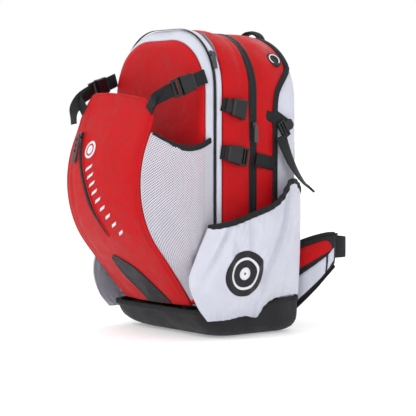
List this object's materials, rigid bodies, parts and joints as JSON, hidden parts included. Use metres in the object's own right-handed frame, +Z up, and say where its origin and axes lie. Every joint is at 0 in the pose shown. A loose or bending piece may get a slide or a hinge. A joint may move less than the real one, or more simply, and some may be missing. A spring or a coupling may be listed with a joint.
{
  "type": "ski backpack",
  "caption": "Ski and snowboard backpack with zipped compartments, a helmet carrier panel on the front, side pockets, compression straps and a hip belt.",
  "frame": {"origin": "middle of the flat underside of the base, where the pack stands on the floor", "axes": "+Z up, +Y towards the wearer's back panel, -Y towards the front carrier panel, +X to the wearer's right hand as the pack is worn"},
  "size_m": [0.3806, 0.4645, 0.5424],
  "materials": {
    "red_nylon": "woven, slight sheen",
    "white_nylon": "coated ripstop, slight sheen",
    "white_mesh": "open mesh",
    "black_cloth": "coarse woven, matt",
    "black_webbing": "woven webbing, matt",
    "zip_tape": "knitted tape with coil",
    "black_plastic": "moulded, satin",
    "black_rubber": "moulded, matt",
    "grey_lining": "thin lining",
    "black_mesh_foam": "spacer mesh over foam",
    "stiffener_sheet": "sheet",
    "alloy": "satin",
    "grey_puller": "moulded"
  },
  "bodies": {
    "back": {"rear_gusset": "red_nylon", "back_shell": "white_nylon", "base_tray": "black_cloth", "frame_sheet": "stiffener_sheet", "frame_hoop": "alloy", "back_pad_left": "black_mesh_foam", "back_pad_right": "black_mesh_foam", "lumbar_pad": "black_mesh_foam", "cable_port": "black_rubber", "main_zip_rear_tape": "zip_tape", "side_pocket_left": "white_nylon", "side_pocket_right": "white_nylon", "lower_strap_left": "black_webbing", "lower_strap_right": "black_webbing"},
    "front_half": {"mid_gusset": "red_nylon", "mid_band": "white_nylon", "divider_wall": "grey_lining", "main_zip_front_tape": "zip_tape", "lower_socket_left": "black_plastic", "lower_socket_right": "black_plastic"},
    "lid": {"lid_band": "white_nylon", "lid_panel": "red_nylon", "front_zip_tape": "zip_tape", "carrier_mesh_left": "white_mesh", "carrier_mesh_right": "white_mesh", "carrier_strap_left": "black_webbing", "carrier_strap_right": "black_webbing", "carrier_socket_left": "black_plastic", "carrier_socket_right": "black_plastic"},
    "carrier": {"carrier_panel": "red_nylon", "carrier_zip_tape": "zip_tape"},
    "carrier_slider": {"carrier_zip_slider": "alloy"},
    "carrier_pull": {"carrier_zip_pull": "grey_puller"},
    "front_slider": {"front_zip_slider": "alloy"},
    "front_pull": {"front_zip_pull": "grey_puller"},
    "main_slider": {"main_zip_slider": "alloy"},
    "main_pull": {"main_zip_pull": "grey_puller"},
    "handle": {"grab_handle": "black_webbing"},
    "shoulder_left": {"shoulder_strap_left": "black_mesh_foam"},
    "sternum_left": {"sternum_webbing_left": "black_webbing", "sternum_socket_left": "black_plastic"},
    "wing_left": {"belt_wing_left": "white_nylon"},
    "belt_end_left": {"belt_webbing_left": "black_webbing", "belt_socket_left": "black_plastic"},
    "upper_front_left": {"upper_socket_left": "black_plastic"},
    "upper_rear_left": {"upper_plug_left": "black_plastic", "upper_tail_left": "black_webbing"},
    "lower_buckle_left": {"lower_plug_left": "black_plastic"},
    "carrier_buckle_left": {"carrier_plug_left": "black_plastic"},
    "shoulder_right": {"shoulder_strap_right": "black_mesh_foam"},
    "sternum_right": {"sternum_webbing_right": "black_webbing", "sternum_plug_right": "black_plastic"},
    "wing_right": {"belt_wing_right": "white_nylon"},
    "belt_end_right": {"belt_webbing_right": "black_webbing", "belt_plug_right": "black_plastic"},
    "upper_front_right": {"upper_socket_right": "black_plastic"},
    "upper_rear_right": {"upper_plug_right": "black_plastic", "upper_tail_right": "black_webbing"},
    "lower_buckle_right": {"lower_plug_right": "black_plastic"},
    "carrier_buckle_right": {"carrier_plug_right": "black_plastic"}
  },
  "joints": [
    {"name": "main_opening", "type": "hinge", "parent": "back", "child": "front_half", "pos_m": [0, -0.124, 0.053], "axis": [1, 0, 0], "range_deg": [0, 32]},
    {"name": "front_opening", "type": "hinge", "parent": "front_half", "child": "lid", "pos_m": [0, -0.124, 0.053], "axis": [1, 0, 0], "range_deg": [0, 26]},
    {"name": "carrier_tilt", "type": "hinge", "parent": "lid", "child": "carrier", "pos_m": [0, -0.124, 0.053], "axis": [1, 0, 0], "range_deg": [0, 8], "deforming": ["carrier_mesh_left", "carrier_mesh_right"]},
    {"name": "carrier_zip", "type": "hinge", "parent": "carrier", "child": "carrier_slider", "pos_m": [-0.0328, -0.0422, 0.2662], "axis": [0.907, 0, 0.4211], "range_deg": [0, 52]},
    {"name": "carrier_pull_swing", "type": "hinge", "parent": "carrier_slider", "child": "carrier_pull", "pos_m": [-0.07491, -0.23264, 0.35657], "axis": [1, 0, 0], "range_deg": [-90, 0]},
    {"name": "front_zip", "type": "hinge", "parent": "front_half", "child": "front_slider", "pos_m": [0.032, -0.09, 0.436], "axis": [0, 1, 0], "range_deg": [-45, 22]},
    {"name": "front_pull_swing", "type": "hinge", "parent": "front_slider", "child": "front_pull", "pos_m": [0.12895, -0.09, 0.49896], "axis": [0, 1, 0], "range_deg": [-110, 0]},
    {"name": "main_zip", "type": "slide", "parent": "back", "child": "main_slider", "axis": [0, 0, 1], "range_m": [0, 0.05]},
    {"name": "main_pull_swing", "type": "hinge", "parent": "main_slider", "child": "main_pull", "pos_m": [0.1518, -0.012, 0.372], "axis": [0, 1, 0], "range_deg": [-110, 0]},
    {"name": "handle_fold", "type": "hinge", "parent": "back", "child": "handle", "pos_m": [0, 0.1025, 0.496], "axis": [1, 0, 0], "range_deg": [-80, 0]},
    {"name": "shoulder_swing_left", "type": "hinge", "parent": "back", "child": "shoulder_left", "pos_m": [0, 0.113, 0.478], "axis": [1, 0, 0], "range_deg": [0, 25]},
    {"name": "sternum_height_left", "type": "slide", "parent": "shoulder_left", "child": "sternum_left", "axis": [0, 0, 1], "range_m": [-0.02, 0.02]},
    {"name": "wing_wrap_left", "type": "hinge", "parent": "back", "child": "wing_left", "pos_m": [-0.0925, 0.104, 0.088], "axis": [0, 0, 1], "range_deg": [-30, 6]},
    {"name": "belt_swing_left", "type": "hinge", "parent": "wing_left", "child": "belt_end_left", "pos_m": [-0.1567, 0.1745, 0.149], "axis": [0, 0, 1], "range_deg": [-15, 50]},
    {"name": "upper_front_swing_left", "type": "hinge", "parent": "front_half", "child": "upper_front_left", "pos_m": [-0.1425, -0.079, 0.408], "axis": [1, 0, 0], "range_deg": [-50, 40]},
    {"name": "upper_rear_swing_left", "type": "hinge", "parent": "back", "child": "upper_rear_left", "pos_m": [-0.1435, 0.041, 0.385], "axis": [1, 0, 0], "range_deg": [0, 30]},
    {"name": "lower_release_left", "type": "slide", "parent": "back", "child": "lower_buckle_left", "axis": [0, 0.9827, -0.185], "range_m": [0, 0.018]},
    {"name": "carrier_release_left", "type": "slide", "parent": "lid", "child": "carrier_buckle_left", "axis": [0.147, -0.9257, -0.3485], "range_m": [0, 0.018]},
    {"name": "shoulder_swing_right", "type": "hinge", "parent": "back", "child": "shoulder_right", "pos_m": [0, 0.113, 0.478], "axis": [1, 0, 0], "range_deg": [0, 25]},
    {"name": "sternum_height_right", "type": "slide", "parent": "shoulder_right", "child": "sternum_right", "axis": [0, 0, 1], "range_m": [-0.02, 0.02]},
    {"name": "wing_wrap_right", "type": "hinge", "parent": "back", "child": "wing_right", "pos_m": [0.0925, 0.104, 0.088], "axis": [0, 0, 1], "range_deg": [-6, 30]},
    {"name": "belt_swing_right", "type": "hinge", "parent": "wing_right", "child": "belt_end_right", "pos_m": [0.1567, 0.1745, 0.149], "axis": [0, 0, 1], "range_deg": [-50, 15]},
    {"name": "upper_front_swing_right", "type": "hinge", "parent": "front_half", "child": "upper_front_right", "pos_m": [0.1425, -0.079, 0.408], "axis": [1, 0, 0], "range_deg": [-50, 40]},
    {"name": "upper_rear_swing_right", "type": "hinge", "parent": "back", "child": "upper_rear_right", "pos_m": [0.1435, 0.041, 0.385], "axis": [1, 0, 0], "range_deg": [0, 30]},
    {"name": "lower_release_right", "type": "slide", "parent": "back", "child": "lower_buckle_right", "axis": [0, 0.9827, -0.185], "range_m": [0, 0.018]},
    {"name": "carrier_release_right", "type": "slide", "parent": "lid", "child": "carrier_buckle_right", "axis": [-0.147, -0.9257, -0.3485], "range_m": [0, 0.018]}
  ]
}
